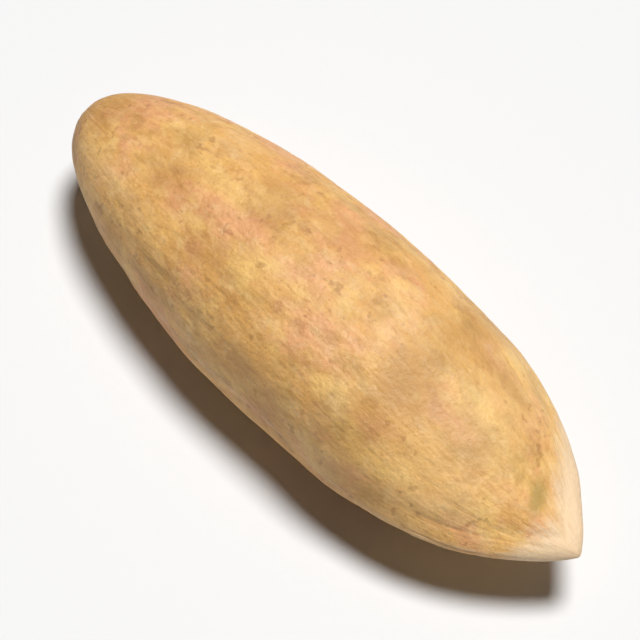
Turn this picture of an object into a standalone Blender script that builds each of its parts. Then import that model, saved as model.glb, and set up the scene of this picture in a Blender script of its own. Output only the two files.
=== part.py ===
"""Pine nut in its shell, lying on its broad side.

One closed, woody shell: a long spindle, widest before the middle, with a rounded blunt end (-X) and a
flattened, three-cornered tip (+X). Two pale keels run back from the tip along the sides, and a shallow
hollow lies between them on each broad face. Metres, +Z up, origin at the middle of the base.
"""

import math

import bmesh
import bpy
from mathutils import Matrix, Vector

MM = 0.001

# Driving dimensions
LENGTH = 21.5 * MM
WIDTH = 7.3 * MM
THICKNESS = 6.3 * MM

# Mesh fineness
SECTOR_COUNT = 60
RING_COUNT = 56

# Outline. A station is the distance back from the tip, as a share of the length.
TIP_ROUNDING = 0.004
TIP_REACH_PLAN = 0.37
TIP_POWER_PLAN = 2.3
TIP_REACH_SIDE = 0.50
TIP_POWER_SIDE = 1.9
BLUNT_START = 0.47
BLUNT_POWER = 2.05

# Centre line: the middle of the body bows a little to -Y, and the tip hangs a little low
BOW = -0.05 * MM
TIP_DROP = 0.25 * MM

# Cross-section
UPPER_SHARE = 0.53
BODY_SQUARENESS = 0.93
LENS_AMOUNT = 0.75
LENS_FADE_START = 0.04
LENS_FADE_END = 0.42
PLANE_COUNT = 5
PLANE_DEPTH = 0.011
PLANE_TURN = 0.6

# Keels: raised seams on the two side edges
KEEL_OUT = 0.18 * MM
KEEL_THICK = 0.32 * MM
KEEL_HALF_WIDTH = 0.42 * MM
KEEL_FADE_PLUS_Y = 0.52
KEEL_FADE_MINUS_Y = 0.34
KEEL_START = 0.045
BLUNT_SEAM_OUT = 0.05 * MM
BLUNT_SEAM_START = 0.86

# Hollows between the keels near the tip. Places and width across are shares of the half-width.
HOLLOW_DEPTH_UP = 0.34 * MM
HOLLOW_DEPTH_DOWN = 0.26 * MM
HOLLOW_STATION = 0.085
HOLLOW_LENGTH = 0.055
HOLLOW_PLACE_UP = 0.34
HOLLOW_PLACE_DOWN = -0.10
HOLLOW_WIDTH = 0.34

# Growth irregularity: long, low swells as a share of the radius
SWELL_LONG = 0.007
SWELL_TURNED = 0.005

# Flat spot that the nut lies on
FLAT_DEPTH = 0.10 * MM

SHELL_COLOUR = (0.60, 0.37, 0.16, 1.0)
SHELL_ROUGHNESS = 0.55


def clear_scene():
    for old in list(bpy.data.objects):
        bpy.data.objects.remove(old, do_unlink=True)


def smooth_step(low, high, value):
    share = min(1.0, max(0.0, (value - low) / (high - low)))
    return share * share * (3.0 - 2.0 * share)


def from_tip(station):
    """Station with the very point taken off round."""
    return math.sqrt(station * station + 2.0 * TIP_ROUNDING * station)


def tip_rise(station, reach, power):
    """0 at the tip, 1 from the reach on: a pointed arch."""
    return 1.0 - max(0.0, 1.0 - from_tip(station) / reach) ** power


def blunt_fall(station):
    """1 along the body, 0 at the blunt end: a full, rounded end."""
    share = max(0.0, station - BLUNT_START) / (1.0 - BLUNT_START)
    return max(0.0, 1.0 - share**BLUNT_POWER) ** (1.0 / BLUNT_POWER)


def half_width(station):
    return WIDTH / 2.0 * tip_rise(station, TIP_REACH_PLAN, TIP_POWER_PLAN) * blunt_fall(station)


def half_thickness(station, is_up):
    share = UPPER_SHARE if is_up else 1.0 - UPPER_SHARE
    return THICKNESS * share * tip_rise(station, TIP_REACH_SIDE, TIP_POWER_SIDE) * blunt_fall(station)


def body_swell(station, turn):
    """Soft lengthwise planes and slow swells, strongest on the middle of the body."""
    middle = math.sin(math.pi * station)
    planes = PLANE_DEPTH * math.cos(PLANE_COUNT * turn + PLANE_TURN)
    long_swell = SWELL_LONG * math.sin(2.0 * math.pi * 1.6 * station + 2.0 * turn + 0.4)
    turned_swell = SWELL_TURNED * math.sin(2.0 * math.pi * 2.7 * station - 3.0 * turn + 1.1)
    return 1.0 + middle * (planes + long_swell + turned_swell)


def keel_height(station, is_plus_y):
    """Share of the full keel: whole near the tip, fading towards mid-body."""
    fade = KEEL_FADE_PLUS_Y if is_plus_y else KEEL_FADE_MINUS_Y
    return math.tanh(from_tip(station) / KEEL_START) * (1.0 - smooth_step(0.06, fade, station))


def hollow_depth(station, across, is_up):
    """How deep the face is sunk at a share across the half-width."""
    depth = HOLLOW_DEPTH_UP if is_up else HOLLOW_DEPTH_DOWN
    place = HOLLOW_PLACE_UP if is_up else HOLLOW_PLACE_DOWN
    along = (station - HOLLOW_STATION) / HOLLOW_LENGTH
    aside = (across - place) / HOLLOW_WIDTH
    return depth * math.exp(-along * along - aside * aside)


def shell_point(station, turn):
    """Point of the shell: turn is the angle round the long axis from +Y towards +Z."""
    cosine = math.cos(turn)
    sine = math.sin(turn)
    is_up = sine >= 0.0
    wide = half_width(station)
    thick = half_thickness(station, is_up)
    lens = LENS_AMOUNT * (1.0 - smooth_step(LENS_FADE_START, LENS_FADE_END, station))
    swell = body_swell(station, turn)

    across = math.copysign(abs(cosine) ** BODY_SQUARENESS, cosine)
    up = math.copysign(abs(sine) ** (BODY_SQUARENESS + lens), sine)
    y = wide * across * swell
    z = thick * up * swell

    from_edge = math.hypot(wide - abs(y), z)
    bead = math.exp(-((from_edge / KEEL_HALF_WIDTH) ** 2))
    keel = keel_height(station, cosine >= 0.0) * bead
    blunt_seam = BLUNT_SEAM_OUT * smooth_step(BLUNT_SEAM_START, 1.0, station) * bead
    y += cosine * (KEEL_OUT * keel + blunt_seam)
    z += sine * KEEL_THICK * keel
    z -= math.copysign(hollow_depth(station, across, is_up), sine) * abs(sine)

    x = LENGTH * (0.5 - station)
    y += BOW * 4.0 * station * (1.0 - station)
    z -= TIP_DROP * (1.0 - smooth_step(0.0, 0.5, station))
    return Vector((x, y, z))


def box_of(mesh):
    low = Vector([min(v.co[axis] for v in mesh.verts) for axis in range(3)])
    high = Vector([max(v.co[axis] for v in mesh.verts) for axis in range(3)])
    return low, high


def fit_box(mesh, size):
    """Scales the mesh to the size and puts its box's middle at the origin."""
    low, high = box_of(mesh)
    bmesh.ops.translate(mesh, vec=-(low + high) / 2.0, verts=mesh.verts)
    factors = [size[axis] / (high[axis] - low[axis]) for axis in range(3)]
    bmesh.ops.scale(mesh, vec=factors, verts=mesh.verts)


def cut_flat_spot(mesh, height):
    """Takes off what lies below the height and closes the shell with a flat face."""
    geometry = mesh.verts[:] + mesh.edges[:] + mesh.faces[:]
    bmesh.ops.bisect_plane(
        mesh, geom=geometry, dist=1e-7, plane_co=(0.0, 0.0, height), plane_no=(0.0, 0.0, 1.0), clear_inner=True
    )
    rim = [edge for edge in mesh.edges if edge.is_boundary]
    bmesh.ops.contextual_create(mesh, geom=rim)


def shell_mesh():
    mesh = bmesh.new()
    bmesh.ops.create_uvsphere(mesh, u_segments=SECTOR_COUNT, v_segments=RING_COUNT, radius=1.0)
    bmesh.ops.rotate(mesh, cent=(0, 0, 0), matrix=Matrix.Rotation(math.pi / 2.0, 3, "Y"), verts=mesh.verts)
    for vertex in mesh.verts:
        station = (1.0 - max(-1.0, min(1.0, vertex.co.x))) / 2.0
        turn = math.atan2(vertex.co.z, vertex.co.y)
        vertex.co = shell_point(station, turn)
    fit_box(mesh, (LENGTH, WIDTH, THICKNESS + FLAT_DEPTH))
    low, _ = box_of(mesh)
    cut_flat_spot(mesh, low.z + FLAT_DEPTH)
    low, _ = box_of(mesh)
    bmesh.ops.translate(mesh, vec=(0.0, 0.0, -low.z), verts=mesh.verts)
    bmesh.ops.recalc_face_normals(mesh, faces=mesh.faces)
    return mesh


def shell_material():
    material = bpy.data.materials.new("woody_shell")
    material.use_nodes = True
    surface = material.node_tree.nodes["Principled BSDF"]
    surface.inputs["Base Color"].default_value = SHELL_COLOUR
    surface.inputs["Roughness"].default_value = SHELL_ROUGHNESS
    surface.inputs["Metallic"].default_value = 0.0
    material.diffuse_color = SHELL_COLOUR
    return material


def main():
    clear_scene()
    collection = bpy.data.collections.new("pine_nut_in_shell")
    bpy.context.scene.collection.children.link(collection)
    data = bpy.data.meshes.new("pine_nut")
    mesh = shell_mesh()
    mesh.to_mesh(data)
    mesh.free()
    data.shade_smooth()
    data.materials.append(shell_material())
    nut = bpy.data.objects.new("pine_nut", data)
    collection.objects.link(nut)


main()
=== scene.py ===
# %% [markdown]
# # A pine nut in its shell
# This lesson dresses one long pine nut. The real thing is a seed in a closed, woody coat: a spindle about
# 21 mm long, round at one end and drawn out at the other to a flattened tip with two pale seams.
# The solid model that is loaded first gives its place and size. It is faceted and has one colour. The new
# skin made here keeps that form, carries the fine relief, and gets the dry, mottled finish of the shell.

# %% Load the solid model
import math

import bmesh
import bpy
from mathutils import Matrix, Vector, noise
from mathutils.bvhtree import BVHTree


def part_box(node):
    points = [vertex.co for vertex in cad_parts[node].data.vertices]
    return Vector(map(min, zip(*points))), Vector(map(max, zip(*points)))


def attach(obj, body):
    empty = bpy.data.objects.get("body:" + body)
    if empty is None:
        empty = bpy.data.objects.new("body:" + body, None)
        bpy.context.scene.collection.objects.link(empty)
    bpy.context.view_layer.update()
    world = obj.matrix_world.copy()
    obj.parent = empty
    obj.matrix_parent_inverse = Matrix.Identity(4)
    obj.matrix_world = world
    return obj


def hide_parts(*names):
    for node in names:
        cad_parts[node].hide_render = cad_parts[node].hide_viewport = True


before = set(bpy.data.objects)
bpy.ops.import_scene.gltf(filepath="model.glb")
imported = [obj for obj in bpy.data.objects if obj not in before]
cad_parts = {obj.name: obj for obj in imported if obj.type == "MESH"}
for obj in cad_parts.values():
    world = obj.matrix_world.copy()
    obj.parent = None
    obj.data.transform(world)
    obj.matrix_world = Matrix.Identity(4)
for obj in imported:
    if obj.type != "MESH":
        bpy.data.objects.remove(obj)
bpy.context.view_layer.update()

MM = 0.001
NODE = "pine_nut"
low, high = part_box(NODE)
LENGTH, WIDTH, THICKNESS = high - low
print(f"the nut is {LENGTH / MM:.1f} x {WIDTH / MM:.1f} x {THICKNESS / MM:.1f} mm")

# %% [markdown]
# ## The outline
# A seed coat has no straight edge to draw along, so its form is best told by a few curves. A station is the
# distance back from the tip, as a share of the length. Seen from above the nut opens from the tip like a
# pointed arch, runs on full, and closes in a round end. Seen from the side it opens more slowly, which
# makes the tip flat like a bill. Formulas suit this better than a cage of hand-placed points, because the
# same few numbers shape the solid and this finer skin, and the two can't drift apart.

# %% Curves of the two ends
# A reach is the share of the length over which the tip opens, and a power says how pointed its arch is
TIP_ROUNDING = 0.004
TIP_REACH_PLAN = 0.37
TIP_POWER_PLAN = 2.3
TIP_REACH_SIDE = 0.50
TIP_POWER_SIDE = 1.9
BLUNT_START = 0.47
BLUNT_POWER = 2.05


def from_tip(station):
    """Station with the very point taken off round."""
    return math.sqrt(station * station + 2.0 * TIP_ROUNDING * station)


def tip_rise(station, reach, power):
    """0 at the tip, 1 from the reach on."""
    return 1.0 - max(0.0, 1.0 - from_tip(station) / reach) ** power


def blunt_fall(station):
    """1 along the body, 0 at the blunt end."""
    share = max(0.0, station - BLUNT_START) / (1.0 - BLUNT_START)
    return max(0.0, 1.0 - share**BLUNT_POWER) ** (1.0 / BLUNT_POWER)


print(f"a tenth along, the tip has opened to {tip_rise(0.1, TIP_REACH_PLAN, TIP_POWER_PLAN):.0%}")

# %% Half-width and half-thickness
UPPER_SHARE = 0.53


def half_width(station):
    return WIDTH / 2.0 * tip_rise(station, TIP_REACH_PLAN, TIP_POWER_PLAN) * blunt_fall(station)


def half_thickness(station, is_up):
    share = UPPER_SHARE if is_up else 1.0 - UPPER_SHARE
    return THICKNESS * share * tip_rise(station, TIP_REACH_SIDE, TIP_POWER_SIDE) * blunt_fall(station)


for share in (0.05, 0.25, 0.5, 0.75, 0.95):
    print(f"station {share:.2f}: {2 * half_width(share) / MM:.2f} mm wide")

# %% [markdown]
# ## Planes, keels and hollows
# On the real nut the two seams where the coat closed stand up as keels. They are highest near the tip and
# die away along the sides, one sooner than the other. Between them each broad face is a little sunk. The
# body isn't a perfect spindle either: it has soft lengthwise planes and slow swells. Each of these is one
# short function of the station and of the turn round the long axis, so each can be changed by itself.

# %% Planes and swells
# Depths are shares of the radius
PLANE_COUNT = 5
PLANE_DEPTH = 0.011
PLANE_TURN = 0.6
SWELL_LONG = 0.007
SWELL_LONG_WAVES = 1.6
SWELL_LONG_PHASE = 0.4
SWELL_TURNED = 0.005
SWELL_TURNED_WAVES = 2.7
SWELL_TURNED_PHASE = 1.1


def body_swell(station, turn):
    """Factor on the radius, strongest on the middle of the body."""
    middle = math.sin(math.pi * station)
    planes = PLANE_DEPTH * math.cos(PLANE_COUNT * turn + PLANE_TURN)
    long_wave = 2.0 * math.pi * SWELL_LONG_WAVES * station + 2.0 * turn + SWELL_LONG_PHASE
    turned_wave = 2.0 * math.pi * SWELL_TURNED_WAVES * station - 3.0 * turn + SWELL_TURNED_PHASE
    swells = SWELL_LONG * math.sin(long_wave) + SWELL_TURNED * math.sin(turned_wave)
    return 1.0 + middle * (planes + swells)


print(f"swell on top at mid-length: {body_swell(0.5, math.pi / 2.0) - 1.0:+.1%} of the radius")

# %% Keels and hollows
# The places and the width of the hollows are shares of the half-width
KEEL_START = 0.045
KEEL_FADE_START = 0.06
KEEL_FADE_PLUS_Y = 0.52
KEEL_FADE_MINUS_Y = 0.34
HOLLOW_STATION = 0.085
HOLLOW_LENGTH = 0.055
HOLLOW_PLACE_UP = 0.34
HOLLOW_PLACE_DOWN = -0.10
HOLLOW_WIDTH = 0.34


def smooth_step(start, end, value):
    share = min(1.0, max(0.0, (value - start) / (end - start)))
    return share * share * (3.0 - 2.0 * share)


def keel_height(station, is_plus_y):
    """Share of the full keel: whole near the tip, fading towards mid-body."""
    fade = KEEL_FADE_PLUS_Y if is_plus_y else KEEL_FADE_MINUS_Y
    return math.tanh(from_tip(station) / KEEL_START) * (1.0 - smooth_step(KEEL_FADE_START, fade, station))


def hollow_share(station, across, is_up):
    """Share of the full depth at a place across the half-width."""
    place = HOLLOW_PLACE_UP if is_up else HOLLOW_PLACE_DOWN
    along = (station - HOLLOW_STATION) / HOLLOW_LENGTH
    aside = (across - place) / HOLLOW_WIDTH
    return math.exp(-along * along - aside * aside)


print("keel at station 0.1:", round(keel_height(0.1, True), 2), round(keel_height(0.1, False), 2))

# %% [markdown]
# ## Pale fibre, seam and painted shade
# The brown skin of the real coat is worn off where it is thin. Bare, cream-coloured fibre shows on the last
# two millimetres of the tip, in a longer strip along one keel, and in a thin line down the whole seam.
# At the blunt end the seam turns pale again on both sides of a small brown scar, where the seed was fixed
# to its scale. Beside the longer strip, in the hollow where the pale tip ends, lies a slanting olive patch of
# painted shade. These are marks in the skin and not shapes, so each is a share from 0 to 1 that the finish
# reads later. A picture painted by hand would do too, but the shares follow the form by themselves when a
# number of the outline is changed.

# %% Shares of pale fibre and painted shade
# Strength, station where it starts to fade, station where it is gone, width on each face
PALE_PLUS_Y = (1.0, 0.06, 0.23, 1.60 * MM)
PALE_MINUS_Y = (0.85, 0.03, 0.10, 0.95 * MM)
PALE_FACE = (0.74, 0.035, 0.095)  # the same without a width, over the whole face
PALE_BLUNT = (0.60, 0.91, 0.99)  # strength, station where it starts, station where it is full
PALE_BLUNT_WIDTH = 0.42 * MM
SEAM_HALF_WIDTH = 0.24 * MM
SEAM_PLUS_Y = 0.48
SEAM_MINUS_Y = 0.38
SCAR_LENGTH = 0.004
# The olive lens is painted shade in the hollow where the pale tip ends
HOLLOW_SHADE_PLACE = Vector((0.411, 0.006)) * LENGTH
HOLLOW_SHADE_ALONG = Vector((-0.50, 0.87))
HOLLOW_SHADE_HALF_LENGTH = 0.80 * MM
HOLLOW_SHADE_HALF_WIDTH = 0.27 * MM


def pale_share(station, from_edge, is_plus_y):
    """Pale fibre at a station and a distance from the seam."""
    strength, start, end, width = PALE_PLUS_Y if is_plus_y else PALE_MINUS_Y
    reach = 1.0 - smooth_step(start, end, station)
    band = SEAM_HALF_WIDTH + (width - SEAM_HALF_WIDTH) * reach
    keel = strength * math.sqrt(reach) * math.exp(-((from_edge / band) ** 2))
    seam_strength = SEAM_PLUS_Y if is_plus_y else SEAM_MINUS_Y
    seam = seam_strength * math.exp(-((from_edge / SEAM_HALF_WIDTH) ** 2))
    strength, start, end = PALE_FACE
    face = strength * (1.0 - smooth_step(start, end, station))
    strength, start, full_at = PALE_BLUNT
    reach = smooth_step(start, full_at, station)
    band = SEAM_HALF_WIDTH + (PALE_BLUNT_WIDTH - SEAM_HALF_WIDTH) * reach
    rim = strength * math.sqrt(reach) * math.exp(-((from_edge / band) ** 2))
    scar = math.exp(-(((1.0 - station) / SCAR_LENGTH) ** 2))
    return max(keel, seam, face, rim) * (1.0 - scar)


def hollow_shade_share(x, y, is_up):
    """Painted shade in the hollow: a slanting lens beside the +Y keel on the upper face, and its mirror image
    below.
    """
    offset = Vector((x, y if is_up else -y)) - HOLLOW_SHADE_PLACE
    along = offset.dot(HOLLOW_SHADE_ALONG) / HOLLOW_SHADE_HALF_LENGTH
    aside = offset.cross(HOLLOW_SHADE_ALONG) / HOLLOW_SHADE_HALF_WIDTH
    return math.exp(-along * along - aside * aside)


for share in (0.02, 0.1, 0.5, 0.98):
    print(f"seam at station {share:.2f}: {pale_share(share, 0.0, True):.2f} pale")

# %% [markdown]
# ## The skin
# A sphere's rings and sectors already run the way a nut's do: rings across it, sectors from tip to blunt
# end. So the skin starts as a UV sphere with its poles at the two ends, and each vertex moves to its place
# on the nut. A remesh or a subdivided cage would do as well, but it would lose the clean lines along the
# keels. The body comes first: round in the middle, and a lens towards the tip. Then the keels stand out,
# crumbled by a noise, with a groove beside each where the halves of the coat met. At last the whole body
# bows a little, and the tip hangs a little low.

# %% Body without keels
BODY_SQUARENESS = 0.93
LENS_AMOUNT = 0.75
LENS_FADE_START = 0.04
LENS_FADE_END = 0.42


def body_point(station, turn):
    """Y and Z of the plain body at a turn from +Y towards +Z, and the share across its half-width."""
    cosine, sine = math.cos(turn), math.sin(turn)
    lens = LENS_AMOUNT * (1.0 - smooth_step(LENS_FADE_START, LENS_FADE_END, station))
    swell = body_swell(station, turn)
    across = math.copysign(abs(cosine) ** BODY_SQUARENESS, cosine)
    up = math.copysign(abs(sine) ** (BODY_SQUARENESS + lens), sine)
    y = half_width(station) * across * swell
    z = half_thickness(station, sine >= 0.0) * up * swell
    return y, z, across


print(f"half-way along, the top lies {body_point(0.5, math.pi / 2.0)[1] / MM:.2f} mm above the axis")

# %% Point of the skin
KEEL_OUT = 0.18 * MM
KEEL_THICK = 0.32 * MM
KEEL_HALF_WIDTH = 0.42 * MM
BLUNT_SEAM_OUT = 0.05 * MM
BLUNT_SEAM_START = 0.86
CRUMBLE_SIZE = 0.7 * MM
CRUMBLE_SHARE = 0.25
HOLLOW_DEPTH_UP = 0.34 * MM
HOLLOW_DEPTH_DOWN = 0.26 * MM
GROOVE_PLACE = 0.80 * MM
GROOVE_HALF_WIDTH = 0.20 * MM
GROOVE_DEPTH = 0.07 * MM
BOW = -0.05 * MM
TIP_DROP = 0.25 * MM
TIP_DROP_END = 0.5


def skin_point(station, turn):
    """Place, pale share and share of painted shade in the hollow of the skin."""
    cosine, sine = math.cos(turn), math.sin(turn)
    is_plus_y, is_up = cosine >= 0.0, sine >= 0.0
    x = LENGTH * (0.5 - station)
    y, z, across = body_point(station, turn)
    from_edge = math.hypot(half_width(station) - abs(y), z)

    bead = math.exp(-((from_edge / KEEL_HALF_WIDTH) ** 2))
    crumble = 1.0 + CRUMBLE_SHARE * noise.noise(Vector((x, y, z)) / CRUMBLE_SIZE)
    keel = keel_height(station, is_plus_y) * bead * crumble
    blunt_seam = BLUNT_SEAM_OUT * smooth_step(BLUNT_SEAM_START, 1.0, station) * bead
    sunk = (HOLLOW_DEPTH_UP if is_up else HOLLOW_DEPTH_DOWN) * hollow_share(station, across, is_up)
    groove = math.exp(-(((from_edge - GROOVE_PLACE) / GROOVE_HALF_WIDTH) ** 2))
    sunk += GROOVE_DEPTH * groove * keel_height(station, is_plus_y) * crumble
    y += cosine * (KEEL_OUT * keel + blunt_seam)
    z += sine * KEEL_THICK * keel - math.copysign(sunk, sine) * abs(sine)

    y += BOW * 4.0 * station * (1.0 - station)
    z -= TIP_DROP * (1.0 - smooth_step(0.0, TIP_DROP_END, station))
    return Vector((x, y, z)), pale_share(station, from_edge, is_plus_y), hollow_shade_share(x, y, is_up)


top = skin_point(0.5, math.pi / 2.0)[0]
print(f"with bow and tip drop it lies at {top.y / MM:.2f}, {top.z / MM:.2f} mm")

# %% [markdown]
# ## Marks kept on the vertices
# The finish has to know where the tip, the seams, the painted shade in the hollow and the blunt end are. So
# each vertex keeps these as numbers from 0 to 1, and a grain place, which unrolls the nut to a cylinder.
# Fibres drawn on it run from end to end and crowd together at the tip. Attributes suit this better than a
# picture, because they need no unwrapping and have no seam.

# %% Sphere moved to the nut's form
SECTORS = 280
RINGS = 290
GRAIN_RADIUS = 3.6 * MM  # of the cylinder that the nut is unrolled to
BLUNT_STAIN_START = 0.86
BLUNT_STAIN_FULL = 0.97
BAND_STATION = 0.31
BAND_LENGTH = 0.04
LIGHT_STATION = 0.20
LIGHT_LENGTH = 0.06

skin = bmesh.new()
bmesh.ops.create_uvsphere(skin, u_segments=SECTORS, v_segments=RINGS, radius=1.0)
bmesh.ops.rotate(skin, cent=(0, 0, 0), matrix=Matrix.Rotation(math.pi / 2.0, 3, "Y"), verts=skin.verts)
keel_layer = skin.verts.layers.float.new("keel")
# share of the olive painted shade in the hollow by the tip
hollow_shade_layer = skin.verts.layers.float.new("hollow_shade")
blunt_layer = skin.verts.layers.float.new("blunt_end")
band_layer = skin.verts.layers.float.new("band")
light_layer = skin.verts.layers.float.new("light_patch")
rise_layer = skin.verts.layers.float.new("rise")
grain_layer = skin.verts.layers.float_vector.new("grain")
for vertex in skin.verts:
    station = (1.0 - max(-1.0, min(1.0, vertex.co.x))) / 2.0
    turn = math.atan2(vertex.co.z, vertex.co.y)
    round_place = (math.cos(turn) * GRAIN_RADIUS, math.sin(turn) * GRAIN_RADIUS)
    vertex.co, vertex[keel_layer], vertex[hollow_shade_layer] = skin_point(station, turn)
    vertex[blunt_layer] = smooth_step(BLUNT_STAIN_START, BLUNT_STAIN_FULL, station)
    vertex[band_layer] = math.exp(-(((station - BAND_STATION) / BAND_LENGTH) ** 2))
    vertex[light_layer] = math.exp(-(((station - LIGHT_STATION) / LIGHT_LENGTH) ** 2))
    vertex[grain_layer] = Vector((vertex.co.x, *round_place))
print(f"{len(skin.verts)} vertices, {sum(len(f.verts) - 2 for f in skin.faces)} triangles")

# %% [markdown]
# ## Fine relief
# A dry seed coat is never smooth. It has shallow dents where it was pressed in its cone, slow lumps, fibre
# ridges about half a millimetre apart that run from end to end, and a few long creases where it shrank as it
# dried. What is large enough to catch the light as a form is moved in the mesh. Only what is finer than
# about a fifth of a millimetre is left to the material's bump. The height is kept on the vertex too, because
# the finish makes low places darker and high places rubbed pale.

# %% Height of the relief
LUMP_SIZE = 2.0 * MM
LUMP_LENGTH = 2.8 * MM
LUMP_HEIGHT = 0.060 * MM
FIBRE_SIZE = 0.55 * MM
FIBRE_LENGTH = 4.0 * MM
FIBRE_HEIGHT = 0.010 * MM
DENT_SPACING = 1.7 * MM
DENT_RADIUS = 0.42 * MM
DENT_DEPTH = 0.045 * MM
CREASE_SPACING = 1.6 * MM
CREASE_LENGTH = 7.0 * MM
CREASE_WIDTH = 0.07
CREASE_DEPTH = 0.022 * MM
CREASE_GROUP = 3.0 * MM
CREASES_START = 0.05
CREASES_FULL = 0.35
ROUGH_SIZE = 0.30 * MM
ROUGH_HEIGHT = 0.007 * MM
FULL_RADIUS = 2.2 * MM  # where the nut is thinner, the relief is lower


def relief(place, grain_place):
    """Height of the shell's fine relief in metres, from the place in space and the grain place."""
    x, y, z = grain_place
    room = min(1.0, math.hypot(place.y, place.z) / FULL_RADIUS)
    lump_place = Vector((x / LUMP_LENGTH, y / LUMP_SIZE, z / LUMP_SIZE))
    lumps = LUMP_HEIGHT * noise.fractal(lump_place, 1.0, 2.0, 2)
    fibres = FIBRE_HEIGHT * noise.noise(Vector((x / FIBRE_LENGTH, y / FIBRE_SIZE, z / FIBRE_SIZE)))
    nearest = noise.voronoi(place / DENT_SPACING)[0][0] * DENT_SPACING
    dents = DENT_DEPTH * math.exp(-((nearest / DENT_RADIUS) ** 2))
    line = noise.noise(Vector((x / CREASE_LENGTH, y / CREASE_SPACING, z / CREASE_SPACING)))
    open_here = smooth_step(CREASES_START, CREASES_FULL, noise.noise(place / CREASE_GROUP))
    crease = CREASE_DEPTH * open_here * math.exp(-((line / CREASE_WIDTH) ** 2))
    rough = ROUGH_HEIGHT * noise.noise(place / ROUGH_SIZE)
    return room * (lumps + fibres - dents - crease + rough)


print(f"relief half-way along the top: {relief(top, top) / MM:.3f} mm")

# %% Relief along the normals
FULL_RISE = 0.06 * MM  # the height that counts as 1 in the finish

skin.normal_update()
heights = [relief(vertex.co, vertex[grain_layer]) for vertex in skin.verts]
for vertex, height in zip(skin.verts, heights):
    vertex.co += vertex.normal * height
    vertex[rise_layer] = height / FULL_RISE
print(f"relief from {min(heights) / MM:.3f} to {max(heights) / MM:.3f} mm")

# %% [markdown]
# ## Fit to the solid
# The new skin must stay where the solid is. Its box is brought to the solid's box, with the small depth
# that the flat spot cut away added below, and what is lower than the surface is laid on it. The distance
# from the solid is then measured, as a test: it should be hardly more than the relief.

# %% Fit and lay down
FLAT_DEPTH = 0.10 * MM

corners = [[pick(v.co[axis] for v in skin.verts) for axis in range(3)] for pick in (min, max)]
middle = (Vector(corners[0]) + Vector(corners[1])) / 2.0
full = Vector((LENGTH, WIDTH, THICKNESS + FLAT_DEPTH))
factors = [full[axis] / (corners[1][axis] - corners[0][axis]) for axis in range(3)]
solid_middle = (low + high) / 2.0 - Vector((0.0, 0.0, FLAT_DEPTH / 2.0))
bmesh.ops.translate(skin, vec=-middle, verts=skin.verts)
bmesh.ops.scale(skin, vec=factors, verts=skin.verts)
bmesh.ops.translate(skin, vec=solid_middle, verts=skin.verts)
for vertex in skin.verts:
    vertex.co.z = max(low.z, vertex.co.z)
bmesh.ops.recalc_face_normals(skin, faces=skin.faces)
print("scaled by", [round(f, 4) for f in factors])

# %% Object and its distance from the solid
TESTED_SHARE = 9  # one vertex in nine

skin_data = bpy.data.meshes.new("nut_skin")
skin.to_mesh(skin_data)
skin.free()
skin_data.shade_smooth()
nut = bpy.data.objects.new("nut_skin", skin_data)
bpy.context.scene.collection.objects.link(nut)

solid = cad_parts[NODE].data
solid_faces = BVHTree.FromPolygons([v.co for v in solid.vertices], [p.vertices for p in solid.polygons])
gaps = [solid_faces.find_nearest(v.co)[3] for v in skin_data.vertices.values()[::TESTED_SHARE]]
print(f"skin to solid: mean {sum(gaps) / len(gaps) / MM:.3f} mm, most {max(gaps) / MM:.3f} mm")

# %% [markdown]
# ## Colours and nodes
# Colours are picked as hex values in the usual screen space. Blender's shaders work in linear light, so one
# function turns them. A second function adds a node with its settings and links, which keeps a long
# material readable.

# %% Helpers for materials


def linear(hex_colour):
    """Linear RGBA of a screen colour such as #808080, by the sRGB curve."""
    shares = [int(hex_colour[i : i + 2], 16) / 255.0 for i in (1, 3, 5)]
    return (*[c / 12.92 if c <= 0.04045 else ((c + 0.055) / 1.055) ** 2.4 for c in shares], 1.0)


def add_node(tree, kind, settings, links):
    """Adds a node, sets its properties and socket values, and links sockets to it."""
    node = tree.nodes.new(kind)
    for name, value in settings.items():
        if isinstance(name, str) and hasattr(node, name):
            setattr(node, name, value)
        else:
            node.inputs[name].default_value = value
    for name, socket in links.items():
        tree.links.new(socket, node.inputs[name])
    return node


print("half-way grey on the screen is", round(linear("#808080")[0], 3), "in linear light")

# %% [markdown]
# ## The shell's finish
# The coat of a pine seed is sclerified: dead, woody cells, dry and matte, with a faint satin where it is
# rubbed. To the eye it is tan, clouded with peach, straw and olive patches a millimetre or two wide,
# streaked along the grain, and flecked with brown. One noise can't give all that. So the colour is built as
# a painter would, one thin coat over the next, each with its own patch size, stretch along the grain and
# strength. The sizes are real ones, in millimetres. Each coat is kept as a colour and the share to which it
# covers what lies below, and all of them are laid at the end.

# %% Start of the shell's material
shell = bpy.data.materials.new("dry_seed_coat")
shell.use_nodes = True
coats = shell.node_tree
surface = coats.nodes["Principled BSDF"]
place = add_node(coats, "ShaderNodeTexCoord", {}, {}).outputs["Object"]
grain = add_node(coats, "ShaderNodeAttribute", {"attribute_name": "grain"}, {}).outputs["Vector"]
marks = {
    name: add_node(coats, "ShaderNodeAttribute", {"attribute_name": name}, {}).outputs["Fac"]
    for name in ("keel", "hollow_shade", "blunt_end", "band", "light_patch", "rise")
}
layers = []
print("marks on the skin:", ", ".join(marks))

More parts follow.
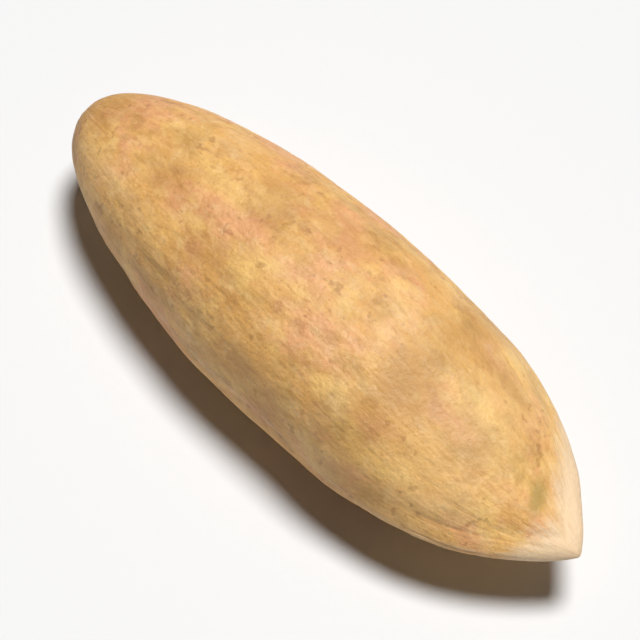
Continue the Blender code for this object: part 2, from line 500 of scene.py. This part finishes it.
# %% Clouds, mottle and fibres
# name: colour, patch size in mm, stretch along the grain, noise where it starts and is full, strength
SHELL_COATS = {
    "peach cloud": ("#E5A279", 1.8, 1.3, 0.49, 0.62, 0.60),
    "straw cloud": ("#EFC475", 1.5, 1.3, 0.50, 0.62, 0.66),
    "olive cloud": ("#AC8748", 1.3, 1.3, 0.53, 0.66, 0.50),
    "brown smudge": ("#A26D3A", 0.75, 1.3, 0.56, 0.68, 0.42),
    "mottle": ("#B27E46", 0.36, 1.3, 0.50, 0.68, 0.28),
    "dark streak": ("#9A6A37", 0.22, 9.0, 0.55, 0.74, 0.22),
    "pale streak": ("#F1CE95", 0.26, 7.0, 0.56, 0.76, 0.24),
    "short dash": ("#875628", 0.14, 2.2, 0.62, 0.69, 0.30),
    "bloom": ("#F0CE98", 0.50, 1.0, 0.55, 0.70, 0.34),
    "stipple": ("#A87339", 0.09, 1.0, 0.52, 0.66, 0.26),
}
COAT_SHIFT = Vector((7.0, 11.0, 0.0)) * MM  # from one coat's noise to the next, so that none repeats
LEAST_FIBRE_STRETCH = 2.0  # from here on a coat follows the fibres

for number, (coat, (shade, size, stretch, start, full_at, strength)) in enumerate(SHELL_COATS.items()):
    coat_place = add_node(
        coats,
        "ShaderNodeMapping",
        {"Location": COAT_SHIFT * number, "Scale": (1.0 / stretch, 1.0, 1.0)},
        {"Vector": grain if stretch > LEAST_FIBRE_STRETCH else place},
    )
    patches = add_node(
        coats,
        "ShaderNodeTexNoise",
        {"Scale": 1.0 / (size * MM), "Detail": 4.0, "Roughness": 0.60},
        {"Vector": coat_place.outputs["Vector"]},
    )
    covered = add_node(
        coats,
        "ShaderNodeMapRange",
        {"From Min": start, "From Max": full_at, "To Min": 0.0, "To Max": strength},
        {"Value": patches.outputs["Fac"]},
    )
    layers.append((shade, covered.outputs["Result"]))
    print(f"coat {coat}: patches of {size} mm")

# %% [markdown]
# ## Mosaic of cells
# The outermost skin of the real coat is a mosaic of flat cells, longer than wide, each a little darker or
# lighter than the next. The real ones are only some hundredths of a millimetre across, which would show as
# nothing, so they are drawn at 0.15 mm. A Voronoi pattern gives each cell a random colour. Its red channel
# picks the darker cells and its green channel the lighter ones, so one pattern serves for both.

# %% Darker and lighter cells
CELL_SIZE = 0.15 * MM
CELL_STRETCH = 2.5
CELL_STRENGTH = 0.18

long_cells = add_node(
    coats, "ShaderNodeMapping", {"Scale": (1.0 / CELL_STRETCH, 1.0, 1.0)}, {"Vector": place}
)
cells = add_node(
    coats, "ShaderNodeTexVoronoi", {"Scale": 1.0 / CELL_SIZE}, {"Vector": long_cells.outputs["Vector"]}
)
cell_tone = add_node(coats, "ShaderNodeSeparateColor", {}, {"Color": cells.outputs["Color"]})
for channel, shade in (("Red", "#A8733C"), ("Green", "#F0CB90")):
    picked = add_node(
        coats,
        "ShaderNodeMapRange",
        {"From Min": 0.45, "From Max": 1.0, "To Min": 0.0, "To Max": CELL_STRENGTH},
        {"Value": cell_tone.outputs[channel]},
    )
    layers.append((shade, picked.outputs["Result"]))
print(f"cells {CELL_SIZE / MM:.2f} mm wide and {CELL_SIZE * CELL_STRETCH / MM:.2f} mm long")

# %% [markdown]
# ## Dark band and light patch
# A third of the length behind the tip this nut has a faint dark band round it, and between the band and
# the tip it is lighter. Both follow the station alone, so a soft note on the vertices is enough, and a
# multiplication sets how strongly it shows.

# %% Tones that follow the station
for mark, shade, strength in (("band", "#B08348", 0.42), ("light_patch", "#F1CA88", 0.30)):
    toned = add_node(coats, "ShaderNodeMath", {"operation": "MULTIPLY", 1: strength}, {0: marks[mark]})
    layers.append((shade, toned.outputs["Value"]))
    print(f"{mark} covers up to {strength:.0%}")

# %% [markdown]
# ## Darker low places, rubbing and flecks
# The dents and creases are made a darker brown, and the high places are rubbed pale. The rise note on the
# vertices says which is which. The flecks are resin and broken skin, a tenth to a third of a millimetre
# across. They have ragged outlines and come in loose groups, so they are the peaks of a fine noise, let
# through by a coarse one.

# %% Low and high places
# colour, rise where it starts, rise where it ends, share at the start, share at the end
for shade, start, end, at_start, at_end in (
    # darker brown where the relief is low, paler where it is high
    ("#A06C37", -1.0, -0.15, 0.42, 0.0),
    ("#F0CC94", 0.15, 1.0, 0.0, 0.35),
):
    height_tone = add_node(
        coats,
        "ShaderNodeMapRange",
        {"From Min": start, "From Max": end, "To Min": at_start, "To Max": at_end},
        {"Value": marks["rise"]},
    )
    layers.append((shade, height_tone.outputs["Result"]))
print(f"a rise of 1 is {FULL_RISE / MM:.2f} mm")

# %% Flecks
FLECK_SIZE = 0.34 * MM
FLECK_GROUP = 3.5 * MM
GROUP_WEIGHT = 0.35

fine = add_node(
    coats,
    "ShaderNodeTexNoise",
    {"Scale": 1.0 / FLECK_SIZE, "Detail": 2.0, "Roughness": 0.4},
    {"Vector": place},
)
groups = add_node(
    coats, "ShaderNodeTexNoise", {"Scale": 1.0 / FLECK_GROUP, "Detail": 1.0}, {"Vector": place}
)
peaks = add_node(
    coats,
    "ShaderNodeMath",
    {"operation": "MULTIPLY_ADD", 1: GROUP_WEIGHT},
    {0: groups.outputs["Fac"], 2: fine.outputs["Fac"]},
)
flecks = add_node(
    coats,
    "ShaderNodeMapRange",
    {"From Min": 0.84, "From Max": 0.90, "To Min": 0.0, "To Max": 0.34},
    {"Value": peaks.outputs["Value"]},
)
layers.append(("#8C5C2E", flecks.outputs["Result"]))
print(f"flecks of about {FLECK_SIZE / MM:.2f} mm in groups of {FLECK_GROUP / MM:.1f} mm")

# %% [markdown]
# ## Blunt end, pale fibre and painted shade
# The blunt end has a yellow-brown tint. The bare fibre of the keels is cream, and its edge is torn, so a
# noise on the grain breaks the line where cream meets tan. Last comes the olive lens of painted shade in the
# hollow beside the keel, over the cream where the pale tip ends.

# %% Blunt end
TEAR_SIZE = 0.30 * MM
TEAR_SQUEEZE = 0.35  # along the grain, so that a tear is about three times as long as wide

torn_grain = add_node(coats, "ShaderNodeMapping", {"Scale": (TEAR_SQUEEZE, 1.0, 1.0)}, {"Vector": grain})
tears = add_node(
    coats,
    "ShaderNodeTexNoise",
    {"Scale": 1.0 / TEAR_SIZE, "Detail": 4.0, "Roughness": 0.6},
    {"Vector": torn_grain.outputs["Vector"]},
).outputs["Fac"]
blunt_edge = add_node(coats, "ShaderNodeMath", {"operation": "MULTIPLY"}, {0: tears, 1: marks["blunt_end"]})
tinted = add_node(
    coats,
    "ShaderNodeMapRange",
    {"From Min": 0.20, "From Max": 0.60, "To Max": 0.55},
    {"Value": blunt_edge.outputs["Value"]},
)
layers.append(("#A9762F", tinted.outputs["Result"]))
print(f"tears of {TEAR_SIZE / MM:.1f} x {TEAR_SIZE / TEAR_SQUEEZE / MM:.1f} mm")

# %% Pale fibre and painted shade
TEAR_DEPTH = 0.9

ragged = add_node(
    coats, "ShaderNodeMath", {"operation": "MULTIPLY_ADD", 1: TEAR_DEPTH, 2: -TEAR_DEPTH / 2.0}, {0: tears}
)
edge = add_node(coats, "ShaderNodeMath", {"operation": "ADD"}, {0: marks["keel"], 1: ragged.outputs["Value"]})
bare = add_node(
    coats,
    "ShaderNodeMapRange",
    {"From Min": 0.28, "From Max": 0.76, "To Max": 0.92},
    {"Value": edge.outputs["Value"]},
)
layers.append(("#E5C8A2", bare.outputs["Result"]))

# painted shade: an olive lens darkens the hollow where the pale tip ends
hollow_shaded = add_node(
    coats,
    "ShaderNodeMapRange",
    {"From Min": 0.20, "From Max": 0.90, "To Max": 0.66},
    {"Value": marks["hollow_shade"]},
)
layers.append(("#9C8648", hollow_shaded.outputs["Result"]))
print(len(layers), "coats to lay")

# %% [markdown]
# ## Laying the coats
# Each coat goes over all that lie below it. In colour mode a Mix node takes the share at input 0, the
# colour below at input 6 and the new one at input 7, and gives the result at output 2. Only the first coat
# has a plain colour below it: the warm tan of the bare shell.

# %% Coats laid one over the other
SHELL_BASE = "#DDA860"

settings, links = {"data_type": "RGBA", 6: linear(SHELL_BASE)}, {}
for shade, share in layers:
    laid = add_node(coats, "ShaderNodeMix", {**settings, 7: linear(shade)}, {**links, 0: share})
    settings, links = {"data_type": "RGBA"}, {6: laid.outputs[2]}
coats.links.new(laid.outputs[2], surface.inputs["Base Color"])
print(f"{len(coats.nodes)} nodes so far")

# %% [markdown]
# ## Grain of the surface
# Under a loupe the coat shows fibre lines about a tenth of a millimetre apart and small pores between them.
# That is too fine for the mesh, so it is a bump, a few hundredths of a millimetre high. The roughness
# wanders round 0.58 by a noise, which is dry wood with a faint satin.

# %% Bump and roughness
FINE_FIBRE = 0.14 * MM
FINE_FIBRE_STRETCH = 8.0
PORE_SIZE = 0.16 * MM
BUMP_HEIGHT = 0.050 * MM
FIBRE_SHARE = 0.45
SMOOTHEST = 0.50
ROUGHEST = 0.66

fine_grain = add_node(
    coats, "ShaderNodeMapping", {"Scale": (1.0 / FINE_FIBRE_STRETCH, 1.0, 1.0)}, {"Vector": grain}
)
fibre_lines = add_node(
    coats,
    "ShaderNodeTexNoise",
    {"Scale": 1.0 / FINE_FIBRE, "Detail": 2.0},
    {"Vector": fine_grain.outputs["Vector"]},
)
pores = add_node(coats, "ShaderNodeTexNoise", {"Scale": 1.0 / PORE_SIZE, "Detail": 3.0}, {"Vector": place})
texture = add_node(
    coats,
    "ShaderNodeMath",
    {"operation": "MULTIPLY_ADD", 1: FIBRE_SHARE},
    {0: fibre_lines.outputs["Fac"], 2: pores.outputs["Fac"]},
)
bump = add_node(
    coats, "ShaderNodeBump", {"Strength": 0.8, "Distance": BUMP_HEIGHT}, {"Height": texture.outputs["Value"]}
)
coats.links.new(bump.outputs["Normal"], surface.inputs["Normal"])
gloss = add_node(
    coats,
    "ShaderNodeMapRange",
    {"From Min": 0.3, "From Max": 0.7, "To Min": SMOOTHEST, "To Max": ROUGHEST},
    {"Value": tears},
)
coats.links.new(gloss.outputs["Result"], surface.inputs["Roughness"])
surface.inputs["IOR"].default_value = 1.45
skin_data.materials.append(shell)
print(f"bump {BUMP_HEIGHT / MM:.2f} mm, roughness {SMOOTHEST} to {ROUGHEST}")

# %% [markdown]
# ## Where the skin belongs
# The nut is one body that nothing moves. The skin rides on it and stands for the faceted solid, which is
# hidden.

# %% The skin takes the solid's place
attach(nut, "root")
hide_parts(NODE)
print(f"{nut.name} stands for {NODE}")

# %% [markdown]
# ## Floor
# The floor is a board in matte white paint: it scatters light evenly, mirrors nothing, and shows the nut's
# soft shadow. It is wide enough to meet the horizon in a low view. It only stages the nut and is no part
# of it.

# %% Floor
FLOOR_HALF = 1.5

floor_mesh = bmesh.new()
bmesh.ops.create_grid(floor_mesh, x_segments=1, y_segments=1, size=FLOOR_HALF)
floor_data = bpy.data.meshes.new("studio_floor")
floor_mesh.to_mesh(floor_data)
floor_mesh.free()
floor = bpy.data.objects.new("studio_floor", floor_data)
bpy.context.scene.collection.objects.link(floor)
paint = bpy.data.materials.new("matte_white_paint")
paint.use_nodes = True
paint.node_tree.nodes["Principled BSDF"].inputs["Base Color"].default_value = linear("#DEDEDE")
paint.node_tree.nodes["Principled BSDF"].inputs["Roughness"].default_value = 0.9
floor_data.materials.append(paint)
print(f"floor {2 * FLOOR_HALF:.0f} m across")

# %% [markdown]
# ## Camera
# The photograph looks down on the nut at about 60 degrees, with the tip towards the lower right. A long
# lens from far away keeps the form free of perspective. The camera is aimed at the middle of what it sees
# of the nut, and its distance follows from how much of the frame the nut should fill.

# %% Camera
CAMERA_AZIMUTH = math.radians(46.0)
CAMERA_ELEVATION = math.radians(60.0)
LENS_MM = 200.0
FRAME_SHARE = 0.80
CLIP_RANGE = 100.0

back = Vector(
    (
        math.sin(CAMERA_AZIMUTH) * math.cos(CAMERA_ELEVATION),
        -math.cos(CAMERA_AZIMUTH) * math.cos(CAMERA_ELEVATION),
        math.sin(CAMERA_ELEVATION),
    )
)
right = Vector((math.cos(CAMERA_AZIMUTH), math.sin(CAMERA_AZIMUTH), 0.0))
up = back.cross(right)
across = [v.co.dot(right) for v in skin_data.vertices]
upward = [v.co.dot(up) for v in skin_data.vertices]
span = max(max(across) - min(across), max(upward) - min(upward))
target = right * (max(across) + min(across)) / 2.0 + up * (max(upward) + min(upward)) / 2.0
target += back * back.dot((low + high) / 2.0)

camera_data = bpy.data.cameras.new("camera")
camera_data.lens = LENS_MM
distance = span / FRAME_SHARE * LENS_MM / camera_data.sensor_width
camera_data.clip_start = distance / CLIP_RANGE
camera_data.clip_end = distance * CLIP_RANGE
camera = bpy.data.objects.new("camera", camera_data)
bpy.context.scene.collection.objects.link(camera)
camera.location = target + back * distance
camera.rotation_euler = back.to_track_quat("Z", "Y").to_euler()
bpy.context.scene.camera = camera
print(f"camera {distance:.3f} m away, nut spans {span / MM:.1f} mm of the view")

# %% [markdown]
# ## Light and air
# One soft light stands almost overhead, a little to the right, as in the photograph. It is a sun lamp as
# wide as a large softbox looks, so the whole floor is lit alike in every view. The air above gives only a
# little light, so that the flanks fall off dark as they do in the photograph, and a brighter band at the
# horizon closes the floor in low views.

# %% Key light
KEY_TILT = math.radians(37.0)  # away from the camera's line of sight
KEY_SIDE = math.radians(74.0)  # from the view's right towards its top
KEY_WIDTH = math.radians(18.0)
KEY_STRENGTH = 3.90
KEY_DISTANCE = 0.35  # a sun lamp shines alike from anywhere, so this is only its place

sideways = right * math.cos(KEY_SIDE) + up * math.sin(KEY_SIDE)
towards_key = back * math.cos(KEY_TILT) + sideways * math.sin(KEY_TILT)
key_data = bpy.data.lights.new("key_softbox", "SUN")
key_data.energy = KEY_STRENGTH
key_data.angle = KEY_WIDTH
key = bpy.data.objects.new("key_softbox", key_data)
bpy.context.scene.collection.objects.link(key)
key.location = (low + high) / 2.0 + towards_key * KEY_DISTANCE
key.rotation_euler = towards_key.to_track_quat("Z", "Y").to_euler()
print("key light is", round(math.degrees(math.asin(towards_key.z))), "degrees above the floor")

# %% Air of the studio
AIR_LIGHT = 0.05
HORIZON_LIGHT = 0.90
HORIZON_HEIGHT = 0.06

world = bpy.data.worlds.new("studio_air")
bpy.context.scene.world = world
world.use_nodes = True
air = world.node_tree
direction = add_node(air, "ShaderNodeTexCoord", {}, {})
parts = add_node(air, "ShaderNodeSeparateXYZ", {}, {"Vector": direction.outputs["Generated"]})
glow = add_node(
    air,
    "ShaderNodeMapRange",
    {
        "interpolation_type": "SMOOTHSTEP",
        "From Min": 0.0,
        "From Max": HORIZON_HEIGHT,
        "To Min": HORIZON_LIGHT,
        "To Max": AIR_LIGHT,
    },
    {"Value": parts.outputs["Z"]},
)
air.links.new(glow.outputs["Result"], air.nodes["Background"].inputs["Strength"])
air.nodes["Background"].inputs["Color"].default_value = linear("#FFFFFF")
bpy.context.scene.view_settings.view_transform = "Standard"
print(f"air {AIR_LIGHT} overhead, {HORIZON_LIGHT} at the horizon")
